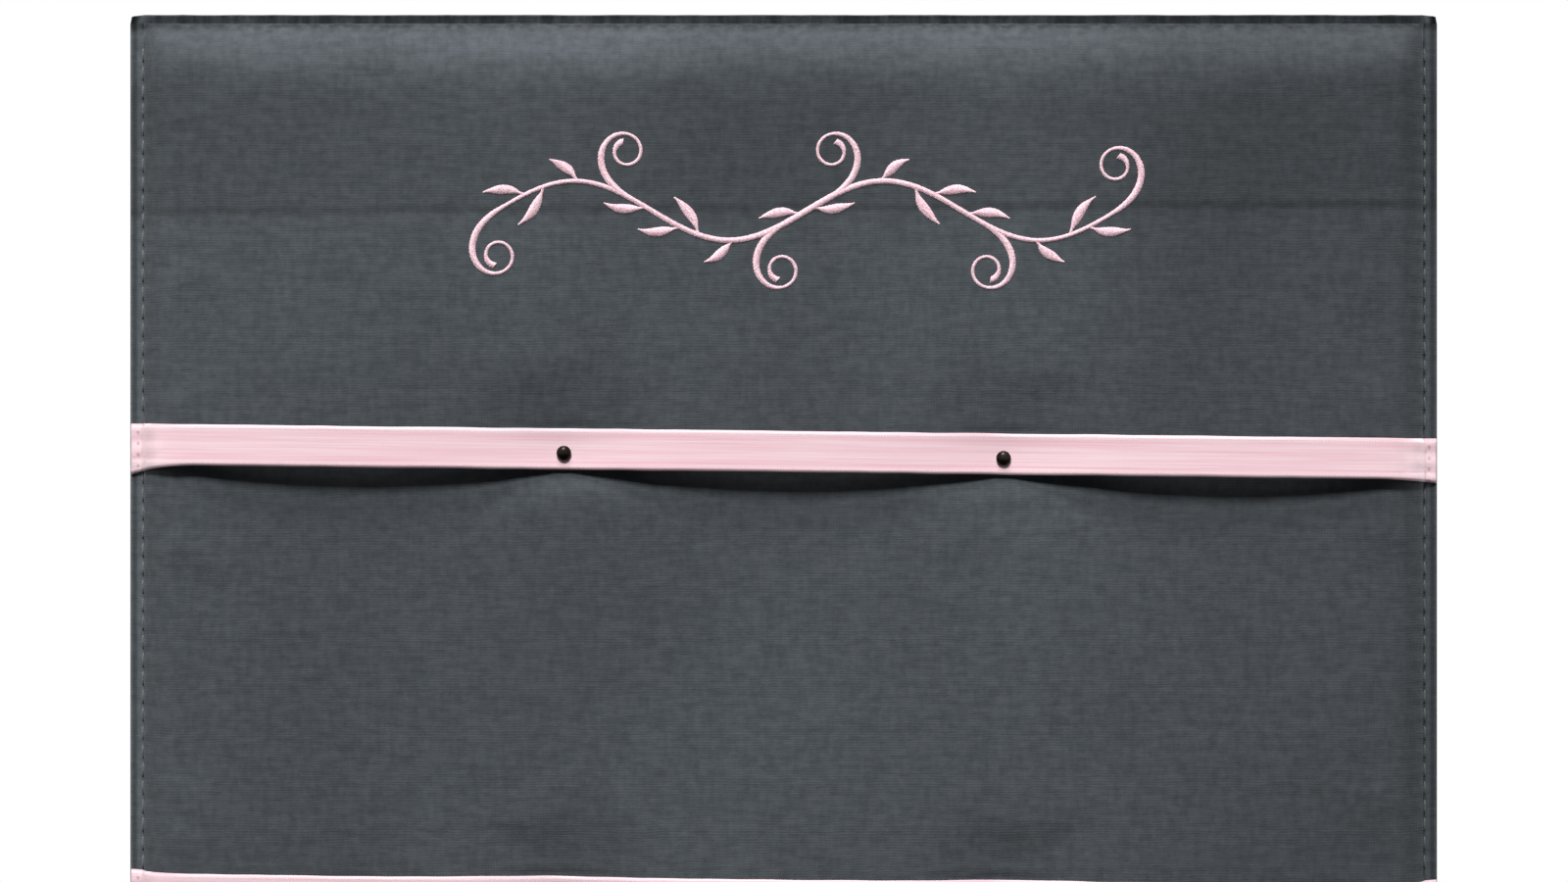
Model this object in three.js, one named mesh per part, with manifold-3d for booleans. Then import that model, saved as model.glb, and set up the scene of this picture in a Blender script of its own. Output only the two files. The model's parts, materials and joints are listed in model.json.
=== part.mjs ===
// French memo board: a padded, cloth-covered panel with two ribbons pinned across it by split-pin studs, and two
// D-ring hangers screwed to its back.
// Millimetres, +Z up. The wall is the plane Y = 0, the front faces -Y, and +X is to the right seen from the front.
// A depth is a distance in front of the wall, so it is minus Y.
import * as THREE from "three";
import { mergeVertices } from "three/addons/utils/BufferGeometryUtils.js";
import Module from "manifold-3d";

const wasm = await Module();
wasm.setup();

// Board outline and cloth
const boardWidth = 400;
const boardHeight = 400;
const clothThickness = 0.7;
const clothGap = 0.2; // between one soft layer and the next
const sideFlange = 4.5; // the sewn edge that stands out past the panel at the left and right
const endFlange = 2.7; // the same at the top and bottom
const endCurl = 1.5; // how far the top and bottom flanges lean forward
const flangeCornerCut = 1.2;

// Core panel
const coreThickness = 6;
const coreSlack = 2.2; // between the cover's sides and the panel's edge
const coreCornerRadius = 8;
const legRoom = 0.5; // behind the panel, for the splayed legs

// Padding
const paddingThickness = 7.5;
const crownRise = 1; // how much fuller the middle is than the edges
const sideShoulder = 12; // from the seam to where the pad is flat, at the left and right
const endShoulder = 15; // the same at the top and bottom
const shoulderSteps = 3;

// Grid of cells, three by three, that the ribbons and studs divide the front into
const cellsAcross = 3;
const cellWidth = boardWidth / cellsAcross;
const cellHeight = boardHeight / cellsAcross;

// Ribbons
const ribbonWidth = 12;
const ribbonThickness = 0.5;
const ribbonArch = 5.2; // how far a ribbon bows off the pad in the middle of a span
const ribbonStep = 12;
const flareLength = 22; // at its sewn ends a ribbon's lower edge spreads over this length
const leftFlare = 3.2;
const rightFlare = 1.2;
const upperSag = 0.2; // each ribbon's middle lies this far below its third of the board
const lowerSag = 2.4;
const upperDrop = 4.6; // how much lower a ribbon's right end is than its left one
const lowerDrop = 3.4;

// Tufts, where the studs draw the pad in
const tuftDepth = 1.8;
const tuftFlat = 3; // half the width of a tuft's flat bottom
const tuftSpread = 33; // from there along the ribbon to the level pad
const tuftMargin = 1; // flat cloth above and below the ribbon
const tuftFallBelow = 7; // from there down to the level pad, short because the ribbon hangs on the studs
const tuftFallAbove = 20; // and up to it
const tuftMiddleShare = 0.5;

// Studs: a stamped cap, crimped round the head of a folded strip whose two legs splay behind the panel
const studDrop = 1.2; // below the ribbon's middle line
const capRadius = 2.25;
const capHeight = 1.7;
const capRim = 0.4;
const capWall = 0.3;
const capMouth = 1.05;
const capSides = 16;
const domeSteps = 4;
const legThickness = 0.3; // of one leg; two lie together in the shank
const legWidth = 1.8;
const legBend = 0.6;
const footLength = 7;
const legHeadLength = 2.2;
const legHoleClearance = 0.35;
const holeSides = 12;

// Hangers
const hangerInset = 70; // from the board's side edge to the middle of a hanger
const hangerDrop = 44; // from the board's top edge to a ring's axis
const seatGap = 0.1; // between metal and what it lies on
const strapThickness = 0.8;
const strapWidth = 10;
const strapLength = 14.5; // from the ring's axis to the end of the tail
const strapCloseAngle = THREE.MathUtils.degToRad(130); // round the knuckle, where the fold turns back to the tail
const knuckleClearance = 0.25;
const knuckleSides = 24;
const wireRadius = 1;
const wireSides = 10;
const ringWidth = 15; // between the middles of the wire
const ringHeight = 11; // from the axis to the middle of the crown
const ringCornerRadius = 1.9;
const ringCornerSteps = 4;
const ringCrownSteps = 14;
const ringRest = 0.3; // a ring that stands up leans this close to the back
const screwDrop = 6.3; // below the ring's axis
const screwRadius = 1.5;
const screwLength = 7.5;
const screwTip = 2;
const screwHoleClearance = 0.2;
const headRadius = 2.8;
const headHeight = 1.9;
const headEdge = 0.7;
const recessLength = 3;
const recessWidth = 0.7;
const recessDepth = 1;
const screwSides = 16;

const overrun = 1; // how far a cutting tool passes the face that it opens

// Depths of the layers, from the wall to the front
const coreRear = clothThickness + legRoom;
const coreFront = coreRear + coreThickness;
const flangeFront = 2 * clothThickness + clothGap;
const padFront = coreFront + paddingThickness;
const coverFront = padFront + clothGap + clothThickness;

const halfWidth = boardWidth / 2;
const halfHeight = boardHeight / 2;
const seamX = halfWidth - sideFlange;
const seamZ = halfHeight - endFlange;
const coreHalfWidth = seamX - clothThickness - coreSlack;
const coreHalfHeight = seamZ - clothThickness - coreSlack;
const legHoleRadius = Math.hypot(legThickness, legWidth / 2) + legHoleClearance;
const screwHoleRadius = screwRadius + screwHoleClearance;

const studPlaces = [-cellWidth / 2, cellWidth / 2];
const hangerPlaces = { left: hangerInset - halfWidth, right: halfWidth - hangerInset };
const axisHeight = halfHeight - hangerDrop;
const ribbons = {
  upper: { middle: cellHeight / 2 - upperSag, drop: upperDrop },
  lower: { middle: -cellHeight / 2 - lowerSag, drop: lowerDrop },
};

// Height of a ribbon's middle line at x.
const ribbonHeight = (ribbon, x) => ribbon.middle - (ribbon.drop * x) / boardWidth;

// Solids and booleans

function solidOf(geometry) {
  const bare = geometry.clone();
  bare.deleteAttribute("normal");
  bare.deleteAttribute("uv");
  const merged = mergeVertices(bare);
  return new wasm.Manifold(
    new wasm.Mesh({
      numProp: 3,
      vertProperties: new Float32Array(merged.attributes.position.array),
      triVerts: new Uint32Array(merged.index.array),
    }),
  );
}

function geometryOf(solid) {
  const mesh = solid.getMesh();
  const geometry = new THREE.BufferGeometry();
  geometry.setAttribute("position", new THREE.BufferAttribute(new Float32Array(mesh.vertProperties), 3));
  geometry.setIndex(new THREE.BufferAttribute(new Uint32Array(mesh.triVerts), 1));
  geometry.computeVertexNormals();
  return geometry;
}

function cut(geometry, tools) {
  return geometryOf(tools.reduce((solid, tool) => solid.subtract(solidOf(tool)), solidOf(geometry)));
}

// An outline in X and Z, given a thickness between two depths.
function plate(outline, rear, front) {
  const settings = { depth: front - rear, bevelEnabled: false, curveSegments: holeSides };
  return new THREE.ExtrudeGeometry(outline, settings).rotateX(Math.PI / 2).translate(0, -rear, 0);
}

// A round tool along Y between two depths.
function bore(x, z, radius, rear, front) {
  const tool = new THREE.CylinderGeometry(radius, radius, front - rear, holeSides);
  return tool.translate(x, -(rear + front) / 2, z);
}

function roundedRectangle(halfX, halfZ, radius) {
  const outline = new THREE.Shape();
  const corners = [
    [halfX - radius, radius - halfZ, -Math.PI / 2],
    [halfX - radius, halfZ - radius, 0],
    [radius - halfX, halfZ - radius, Math.PI / 2],
    [radius - halfX, radius - halfZ, Math.PI],
  ];
  for (const [x, z, start] of corners) outline.absarc(x, z, radius, start, start + Math.PI / 2);
  return outline;
}

// Points on a quarter or part of an ellipse about the axis, for a turned profile.
function ellipseArc(radius, height, base, from, to, steps) {
  return Array.from({ length: steps + 1 }, (_, k) => {
    const angle = from + ((to - from) * k) / steps;
    return new THREE.Vector2(radius * Math.cos(angle), base + height * Math.sin(angle));
  });
}

// A closed sheet between two grids of points, which are columns from left to right of rows from bottom to top.
// Each quarter of the sheet has its diagonals run to its own corner.
function gridShell(front, rear) {
  const columns = front.length;
  const rows = front[0].length;
  const points = [...front, ...rear].flat(2);
  const frontAt = (i, j) => i * rows + j;
  const rearAt = (i, j) => (columns + i) * rows + j;
  const faces = [];
  const quad = (a, b, c, d) => faces.push(a, b, c, a, c, d);
  for (let i = 0; i < columns - 1; i++) {
    for (let j = 0; j < rows - 1; j++) {
      const rising = i < (columns - 1) / 2 === j < (rows - 1) / 2;
      const ring = [[i, j], [i + 1, j], [i + 1, j + 1], [i, j + 1]];
      const turned = rising ? ring : [...ring.slice(1), ring[0]];
      quad(...turned.map(([u, v]) => frontAt(u, v)));
      const [a, b, c, d] = turned.map(([u, v]) => rearAt(u, v));
      quad(a, d, c, b);
    }
  }
  for (let i = 0; i < columns - 1; i++) {
    quad(frontAt(i, 0), rearAt(i, 0), rearAt(i + 1, 0), frontAt(i + 1, 0));
    quad(frontAt(i + 1, rows - 1), rearAt(i + 1, rows - 1), rearAt(i, rows - 1), frontAt(i, rows - 1));
  }
  for (let j = 0; j < rows - 1; j++) {
    quad(frontAt(0, j + 1), rearAt(0, j + 1), rearAt(0, j), frontAt(0, j));
    quad(frontAt(columns - 1, j), rearAt(columns - 1, j), rearAt(columns - 1, j + 1), frontAt(columns - 1, j + 1));
  }
  const geometry = new THREE.BufferGeometry();
  geometry.setAttribute("position", new THREE.Float32BufferAttribute(points, 3));
  geometry.setIndex(faces);
  return geometry;
}

// Grid lines of the cover. side is the half that a line is on, place is where it crosses the board at x, rise is how
// far up the shoulder it lies, lean is how far the cloth faces sideways there, and edge marks the sewn rim.

function shoulderLines(half, flange, shoulder, curl, side) {
  const seam = half - flange;
  const climb = Array.from({ length: shoulderSteps + 1 }, (_, k) => {
    const angle = ((Math.PI / 2) * k) / shoulderSteps;
    const place = side * (seam - shoulder * (1 - Math.cos(angle)));
    return { side, place: () => place, rise: Math.sin(angle), lean: Math.cos(angle), edge: 0, curl: 0 };
  });
  return [{ side, place: () => side * half, rise: 0, lean: 0, edge: 1, curl }, ...climb];
}

const levelLine = (place) => ({ side: 0, place, rise: 1, lean: 0, edge: 0, curl: 0 });

// Lines across a tuft: on each side the end of its fall, the middle of it, and the edge of its flat bottom.
function tuftOffsets(flat, fallBefore, fallAfter) {
  const outward = (fall) => [flat, flat + fall * tuftMiddleShare, flat + fall];
  const before = outward(fallBefore).map((offset) => -offset);
  return [...before.reverse(), ...outward(fallAfter)];
}

const tuftHeight = ribbonWidth / 2 + tuftMargin;
const studColumns = studPlaces.map((x) =>
  tuftOffsets(tuftFlat, tuftSpread, tuftSpread).map((offset) => levelLine(() => x + offset)),
);
const tuftRows = tuftOffsets(tuftHeight, tuftFallBelow, tuftFallAbove);
const ribbonRows = [ribbons.lower, ribbons.upper].map((ribbon) =>
  tuftRows.map((offset) => levelLine((x) => ribbonHeight(ribbon, x) + offset)),
);
const columns = [
  ...shoulderLines(halfWidth, sideFlange, sideShoulder, 0, -1),
  ...studColumns[0],
  levelLine(() => 0),
  ...studColumns[1],
  ...shoulderLines(halfWidth, sideFlange, sideShoulder, 0, 1).reverse(),
];
const rows = [
  ...shoulderLines(halfHeight, endFlange, endShoulder, endCurl, -1),
  ...ribbonRows[0],
  levelLine(() => 0),
  ...ribbonRows[1],
  ...shoulderLines(halfHeight, endFlange, endShoulder, endCurl, 1).reverse(),
];

// How far the studs pull the pad in at a point: fully on a tuft's flat bottom, and not at all past its fall.
function tuftPull(x, z) {
  const smooth = THREE.MathUtils.smoothstep;
  let most = 0;
  for (const ribbon of Object.values(ribbons)) {
    const up = z - ribbonHeight(ribbon, x);
    const fall = up > 0 ? tuftFallAbove : tuftFallBelow;
    const upward = 1 - smooth(Math.abs(up), tuftHeight, tuftHeight + fall);
    for (const place of studPlaces) {
      const along = 1 - smooth(Math.abs(x - place), tuftFlat, tuftFlat + tuftSpread);
      most = Math.max(most, along * upward);
    }
  }
  return tuftDepth * most;
}

// Depth of the cover's outside where the shoulder has climbed to rise.
function coverDepth(x, z, rise) {
  const crown = crownRise * (1 - (x / seamX) ** 2) * (1 - (z / seamZ) ** 2);
  return flangeFront + (coverFront + crown - tuftPull(x, z) - flangeFront) * rise;
}

// Two shoulders meet in a corner that is fuller than their product and softer than a mitre.
function cornerRise(a, b) {
  if (a * b === 0) return 0;
  return (a * b) / Math.sqrt(a * a + b * b - a * a * b * b);
}

// A point of the cover on a column and a row, with the layer moved inwards by inset.
function coverPoint(column, row, inset) {
  const x = column.place();
  const z = row.place(x);
  const corner = flangeCornerCut * column.edge * row.edge;
  const depth = coverDepth(x, z, cornerRise(column.rise, row.rise)) + row.curl - inset;
  return [
    x - column.side * (inset * column.lean + corner),
    -depth,
    z - row.side * (inset * row.lean + corner),
  ];
}

const coverLayer = (inset, acrossX = columns, upZ = rows) =>
  acrossX.map((column) => upZ.map((row) => coverPoint(column, row, inset)));

// Pieces

const studPoints = Object.entries(ribbons).flatMap(([name, ribbon]) =>
  studPlaces.map((x) => ({ x, z: ribbonHeight(ribbon, x) - studDrop, ribbon, ribbonName: name })),
);

const legHoles = (rear, front) => studPoints.map(({ x, z }) => bore(x, z, legHoleRadius, rear, front));

const screwHoles = (rear, front) =>
  Object.values(hangerPlaces).map((x) => bore(x, axisHeight - screwDrop, screwHoleRadius, rear, front));

function frontCover() {
  const cloth = gridShell(coverLayer(0), coverLayer(clothThickness));
  return cut(cloth, legHoles(coreFront, coverFront + crownRise + overrun));
}

// The back cover is flat and follows the flanges round its rim.
function backCover() {
  const rim = (lines) => [lines[0], lines[1], lines.at(-2), lines.at(-1)];
  const sheet = (depth) =>
    coverLayer(clothThickness, rim(columns), rim(rows)).map((column) =>
      column.map(([x, y, z]) => [x, y + flangeFront - clothThickness - depth, z]),
    );
  return cut(gridShell(sheet(clothThickness), sheet(0)), screwHoles(-overrun, clothThickness + overrun));
}

function corePanel() {
  const panel = plate(roundedRectangle(coreHalfWidth, coreHalfHeight, coreCornerRadius), coreRear, coreFront);
  const through = [coreRear - overrun, coreFront + overrun];
  return cut(panel, [...legHoles(...through), ...screwHoles(...through)]);
}

// The pad fills the cover from the panel's face forwards.
function wadding() {
  const inset = clothThickness + clothGap;
  const insideColumns = columns.filter((line) => !line.edge);
  const insideRows = rows.filter((line) => !line.edge);
  const front = coverLayer(inset, insideColumns, insideRows);
  const rear = front.map((column) => column.map(([x, , z]) => [x, 0, z]));
  const slab = plate(
    roundedRectangle(coreHalfWidth, coreHalfHeight, coreCornerRadius),
    coreFront,
    coverFront + crownRise + overrun,
  );
  const pad = solidOf(gridShell(front, rear)).intersect(solidOf(slab));
  return cut(geometryOf(pad), legHoles(coreFront - overrun, coverFront + crownRise + overrun));
}

// How far a ribbon stands off the cover at x: nothing at a stud or at the side seams, and most in mid-span.
function archAt(x) {
  const stops = [-seamX, ...studPlaces.flatMap((place) => [place - tuftFlat, place + tuftFlat]), seamX];
  const span = stops.findIndex((stop) => x <= stop);
  if (span < 1 || span % 2 === 0) return 0;
  const along = (x - stops[span - 1]) / (stops[span] - stops[span - 1]);
  return ribbonArch * along * (1 - along) * 4;
}

// A ribbon's lines are the cover's columns, with more between those that are far apart.
const ribbonLines = columns.flatMap((line, k) => {
  const next = columns[k + 1];
  if (!next) return [line];
  const from = line.place();
  const width = next.place() - from;
  const parts = Math.ceil(width / ribbonStep);
  const between = Array.from({ length: parts - 1 }, (_, n) => levelLine(() => from + (width * (n + 1)) / parts));
  return [line, ...between];
});

// How far the lower edge spreads at x, near the sewn ends.
function flareAt(x) {
  const into = Math.max(0, Math.abs(x) - (halfWidth - flareLength)) / flareLength;
  return (x < 0 ? leftFlare : rightFlare) * into ** 2;
}

function ribbon(name) {
  const strip = ribbons[name];
  const layer = (outset) =>
    ribbonLines.map((line) => {
      const x = line.place();
      const middle = ribbonHeight(strip, x);
      const depth = coverDepth(x, middle, line.rise) + outset + archAt(x);
      const edges = [middle - ribbonWidth / 2 - flareAt(x), middle + ribbonWidth / 2];
      return edges.map((z) => [x + line.side * outset * line.lean, -depth, z]);
    });
  const band = gridShell(layer(clothGap + ribbonThickness), layer(clothGap));
  return cut(band, legHoles(coreFront, coverFront + ribbonArch));
}

// Depth of a ribbon's outside at a stud.
function ribbonFrontAt({ x, ribbon: strip }) {
  return coverDepth(x, ribbonHeight(strip, x), 1) + clothGap + ribbonThickness;
}

// The cap opens towards the ribbon. Its rim turns in below the head of the legs.
function studCap() {
  const inside = capRadius - capWall;
  const profile = [
    ...ellipseArc(capRadius, capHeight - capRim, capRim, Math.PI / 2, 0, domeSteps),
    new THREE.Vector2(capRadius, 0),
    new THREE.Vector2(capMouth, 0),
    new THREE.Vector2(capMouth, capWall),
    new THREE.Vector2(inside, capWall),
    ...ellipseArc(inside, capHeight - capWall - capRim, capRim, 0, Math.PI / 2, domeSteps),
  ];
  profile[0].x = 0;
  profile.at(-1).x = 0;
  return new THREE.LatheGeometry(profile.reverse(), capSides).rotateX(Math.PI);
}

// The folded strip seen from its edge: head, shank and two feet. y = 0 is the panel's back face.
function studLegs(headBase) {
  const head = legHeadLength / 2;
  const outline = new THREE.Shape();
  outline.moveTo(-footLength, -legThickness);
  outline.lineTo(-legBend, -legThickness);
  outline.quadraticCurveTo(0, -legThickness, 0, legBend);
  outline.quadraticCurveTo(0, -legThickness, legBend, -legThickness);
  outline.lineTo(footLength, -legThickness);
  outline.lineTo(footLength, 0);
  outline.lineTo(legBend + legThickness, 0);
  outline.quadraticCurveTo(legThickness, 0, legThickness, legBend);
  outline.lineTo(legThickness, headBase);
  outline.lineTo(head, headBase);
  outline.lineTo(head, headBase + 2 * legThickness);
  outline.lineTo(-head, headBase + 2 * legThickness);
  outline.lineTo(-head, headBase);
  outline.lineTo(-legThickness, headBase);
  outline.lineTo(-legThickness, legBend);
  outline.quadraticCurveTo(-legThickness, 0, -legBend - legThickness, 0);
  outline.lineTo(-footLength, 0);
  const settings = { depth: legWidth, bevelEnabled: false, curveSegments: domeSteps };
  return new THREE.ExtrudeGeometry(outline, settings).translate(0, 0, -legWidth / 2).rotateZ(Math.PI);
}

// The ring's knuckle: the strap's inside is a running fit round the wire.
const knuckleBore = wireRadius + knuckleClearance;
const knuckleRadius = knuckleBore + strapThickness;

// A strip folded round the ring's bar and closed on itself, seen from its edge with x up and y away from the board,
// then trimmed to a round tail.
function hangerStrap() {
  const doubled = 2 * strapThickness;
  const closeX = knuckleRadius * Math.cos(strapCloseAngle);
  const closeY = knuckleRadius * (1 + Math.sin(strapCloseAngle));
  const slope = Math.tan(strapCloseAngle);
  const side = new THREE.Shape();
  side.moveTo(-strapLength, 0);
  side.absarc(0, knuckleRadius, knuckleRadius, -Math.PI / 2, strapCloseAngle);
  side.lineTo(closeX + (closeY - doubled) * slope, doubled);
  side.lineTo(-strapLength, doubled);
  side.holes.push(new THREE.Path().absarc(0, knuckleRadius, knuckleBore, 0, 2 * Math.PI));
  const settings = { depth: strapWidth, bevelEnabled: false, curveSegments: knuckleSides };
  const folded = new THREE.ExtrudeGeometry(side, settings)
    .translate(0, 0, -strapWidth / 2)
    .rotateY(-Math.PI / 2);
  const plan = new THREE.Shape();
  plan.moveTo(strapWidth / 2, knuckleRadius + overrun);
  plan.lineTo(-strapWidth / 2, knuckleRadius + overrun);
  plan.absarc(0, strapWidth / 2 - strapLength, strapWidth / 2, Math.PI, 2 * Math.PI);
  const trim = plate(plan, -2 * knuckleRadius - overrun, overrun);
  const tab = solidOf(folded).intersect(solidOf(trim));
  return cut(geometryOf(tab), [bore(0, -screwDrop, screwHoleRadius, -doubled - overrun, overrun)]);
}

// Middle line of the ring: a straight bar, two tight corners and a round crown.
function ringPath() {
  const half = ringWidth / 2;
  const corner = ringCornerRadius;
  const arc = (x, z, radius, from, to, steps) =>
    Array.from({ length: steps + 1 }, (_, k) => {
      const angle = from + ((to - from) * k) / steps;
      return new THREE.Vector2(x + radius * Math.cos(angle), z + radius * Math.sin(angle));
    });
  return [
    ...arc(corner - half, corner, corner, Math.PI, 1.5 * Math.PI, ringCornerSteps),
    ...arc(half - corner, corner, corner, -Math.PI / 2, 0, ringCornerSteps),
    ...arc(0, ringHeight - half, half, 0, Math.PI, ringCrownSteps),
  ];
}

// Round wire swept along a closed line in X and Z.
function wireLoop(line) {
  const points = [];
  const faces = [];
  const count = line.length;
  line.forEach((here, k) => {
    const before = here.clone().sub(line.at(k - 1)).normalize();
    const after = line[(k + 1) % count].clone().sub(here).normalize();
    const along = before.add(after).normalize();
    for (let side = 0; side < wireSides; side++) {
      const angle = (2 * Math.PI * side) / wireSides;
      const out = wireRadius * Math.cos(angle);
      points.push(here.x + along.y * out, -wireRadius * Math.sin(angle), here.y - along.x * out);
      const next = (side + 1) % wireSides;
      const ahead = ((k + 1) % count) * wireSides;
      const back = k * wireSides;
      faces.push(back + side, ahead + side, ahead + next, back + side, ahead + next, back + next);
    }
  });
  const geometry = new THREE.BufferGeometry();
  geometry.setAttribute("position", new THREE.Float32BufferAttribute(points, 3));
  geometry.setIndex(faces);
  return geometry;
}

// A pan-head screw along Y, its head's underside at y = 0, with a crossed recess.
function hangerScrew() {
  const profile = [
    new THREE.Vector2(0, -screwLength),
    new THREE.Vector2(screwRadius, screwTip - screwLength),
    new THREE.Vector2(screwRadius, 0),
    new THREE.Vector2(headRadius, 0),
    ...ellipseArc(headRadius, headHeight - headEdge, headEdge, 0, Math.PI / 2, domeSteps),
  ];
  profile.at(-1).x = 0;
  const arm = (x, z) => new THREE.BoxGeometry(x, 2 * recessDepth, z).translate(0, headHeight, 0);
  return cut(new THREE.LatheGeometry(profile, screwSides), [
    arm(recessLength, recessWidth),
    arm(recessWidth, recessLength),
  ]);
}

// Finishes
const finish = (color, roughness, metalness = 0) =>
  new THREE.MeshStandardMaterial({ color, roughness, metalness });
const clothFinish = () => finish(0x4d5154, 0.95);
const backClothFinish = () => finish(0x3f4346, 0.95);
const waddingFinish = () => finish(0xf1efe8, 1);
const coreFinish = () => finish(0xa9855c, 0.85);
const ribbonFinish = () => finish(0xf1cdd5, 0.55);
const capFinish = () => finish(0x16120f, 0.3, 0.6);
const legFinish = () => finish(0x8f7a45, 0.35, 1);
const steelFinish = () => finish(0xb9bcc0, 0.3, 1);

function piece(name, geometry, material, x = 0, y = 0, z = 0) {
  const mesh = new THREE.Mesh(geometry, material);
  mesh.name = name;
  mesh.position.set(x, y, z);
  return mesh;
}

function stud(point, number) {
  const base = ribbonFrontAt(point) + clothGap;
  const headBase = base + capWall + seatGap - coreRear;
  const name = `${point.ribbonName}_${number}`;
  const group = new THREE.Group();
  group.position.set(point.x, 0, point.z);
  group.add(piece(`stud_cap_${name}`, studCap(), capFinish(), 0, -base, 0));
  group.add(piece(`stud_legs_${name}`, studLegs(headBase), legFinish(), 0, -coreRear, 0));
  return group;
}

// A ring stands up and leans on the back cover, as it does when the board hangs on its hooks.
function hanger(name, x) {
  const group = new THREE.Group();
  group.position.set(x, seatGap, axisHeight);
  group.add(piece(`hanger_strap_${name}`, hangerStrap(), steelFinish()));
  group.add(piece(`hanger_screw_${name}`, hangerScrew(), steelFinish(), 0, 2 * strapThickness + seatGap, -screwDrop));
  const ring = piece(`hanger_ring_${name}`, wireLoop(ringPath()), steelFinish(), 0, knuckleRadius, 0);
  ring.rotation.x = Math.asin((knuckleRadius - wireRadius - ringRest + seatGap) / ringHeight);
  group.add(ring);
  return group;
}

const board = new THREE.Group();
board.name = "french_memo_board";
board.add(piece("core_panel", corePanel(), coreFinish()));
board.add(piece("wadding", wadding(), waddingFinish()));
board.add(piece("front_cover", frontCover(), clothFinish()));
board.add(piece("back_cover", backCover(), backClothFinish()));
for (const name of Object.keys(ribbons)) board.add(piece(`ribbon_${name}`, ribbon(name), ribbonFinish()));
studPoints.forEach((point, k) => board.add(stud(point, (k % studPlaces.length) + 1)));
for (const [name, x] of Object.entries(hangerPlaces)) board.add(hanger(name, x));

export default board;
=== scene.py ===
import json
import math
import random

import bmesh
import bpy
import numpy as np
from mathutils import Matrix, Vector, noise


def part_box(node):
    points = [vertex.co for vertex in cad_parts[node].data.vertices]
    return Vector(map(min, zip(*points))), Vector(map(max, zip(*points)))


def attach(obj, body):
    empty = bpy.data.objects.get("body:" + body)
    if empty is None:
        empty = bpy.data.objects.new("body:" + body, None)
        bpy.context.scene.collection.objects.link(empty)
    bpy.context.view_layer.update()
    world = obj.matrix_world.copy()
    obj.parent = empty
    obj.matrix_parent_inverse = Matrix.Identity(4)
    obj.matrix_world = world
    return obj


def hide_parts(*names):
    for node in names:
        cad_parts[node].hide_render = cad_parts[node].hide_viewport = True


# French memo board: padded grey cloth, two pink satin ribbons pinned by small dark studs, and two D-ring
# hangers behind. Sizes are in millimetres until a point is placed. The wall is Y = 0 and the front faces -Y,
# so a depth, which is a distance in front of the wall, is minus Y.

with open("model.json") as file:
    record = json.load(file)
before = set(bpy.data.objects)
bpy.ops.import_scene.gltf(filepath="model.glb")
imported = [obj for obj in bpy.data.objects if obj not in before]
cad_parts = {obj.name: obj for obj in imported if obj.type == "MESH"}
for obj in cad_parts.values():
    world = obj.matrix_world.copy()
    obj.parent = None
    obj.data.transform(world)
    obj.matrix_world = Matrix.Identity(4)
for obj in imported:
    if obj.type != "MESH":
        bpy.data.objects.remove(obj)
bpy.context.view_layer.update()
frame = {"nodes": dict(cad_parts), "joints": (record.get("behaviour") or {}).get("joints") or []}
scene = bpy.context.scene
MM = 0.001

# Board and cover
BOARD_HALF = 200
CLOTH = 0.7
LAYER_GAP = 0.2
SIDE_FLANGE = 4.5
END_FLANGE = 2.7
END_CURL = 1.5
CORNER_CUT = 0.6
SIDE_SHOULDER = 12
END_SHOULDER = 15
FLANGE_FRONT = 1.6
COVER_FRONT = 15.6
CROWN = 1
PANEL_FRONT = 7.2
SEAM_X = BOARD_HALF - SIDE_FLANGE
SEAM_Z = BOARD_HALF - END_FLANGE

# Ribbons and tufts
CELL = 2 * BOARD_HALF / 3
RIBBON_WIDTH = 12
WOVEN_WIDTH = 12.5
RIBBON_CLOTH = 0.5
SATIN = 0.15
RIBBON_ARCH = 5.2
FLARE_LENGTH = 22
FLARES = {-1: 3.2, 1: 1.2}
# Each ribbon's height at the board's middle, and how much lower its right end is than its left
RIBBONS = {"upper": (CELL / 2 - 0.2, 4.6), "lower": (-CELL / 2 - 2.4, 3.4)}
STUD_X = (-CELL / 2, CELL / 2)
TUFT_DEPTH = 1.8
TUFT_FLAT = 3
TUFT_SPREAD = 33
TUFT_HEIGHT = RIBBON_WIDTH / 2 + 1
TUFT_FALL_BELOW = 7
TUFT_FALL_ABOVE = 20

# Sewing
STITCH_PITCH = 5.6
STITCH_LENGTH = 3.9
STITCH_X = BOARD_HALF - 4.2
HOLE_X = BOARD_HALF - 4.9
STITCH_END = 192
THREAD_RADIUS = 0.36
# The groove and the two swellings of a sewn side: distance in from the fold, width and height of each
SIDE_SEAM = ((1.5, 0.7, -0.4), (3, 1, 0.5), (SIDE_FLANGE, 1.5, 1.6))
END_SWELLING = 0.6
END_SWELLING_WIDTH = 1.2


def smooth(value, low, high):
    """A share that rises from 0 at low to 1 at high."""
    share = min(max((value - low) / (high - low), 0), 1)
    return share * share * (3 - 2 * share)


def bell(value, width):
    """A share that is 1 at no distance and falls off to both sides."""
    return math.exp(-((value / width) ** 2))


def ribbon_height(name, x):
    middle, drop = RIBBONS[name]
    return middle - drop * x / (2 * BOARD_HALF)


def tuft_pull(x, z):
    """How far the studs draw the pad in at a point."""
    most = 0
    for name in RIBBONS:
        up = z - ribbon_height(name, x)
        fall = TUFT_FALL_ABOVE if up > 0 else TUFT_FALL_BELOW
        upward = 1 - smooth(abs(up), TUFT_HEIGHT, TUFT_HEIGHT + fall)
        if upward:
            for place in STUD_X:
                along = 1 - smooth(abs(x - place), TUFT_FLAT, TUFT_FLAT + TUFT_SPREAD)
                most = max(most, along * upward)
    return TUFT_DEPTH * most


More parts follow.
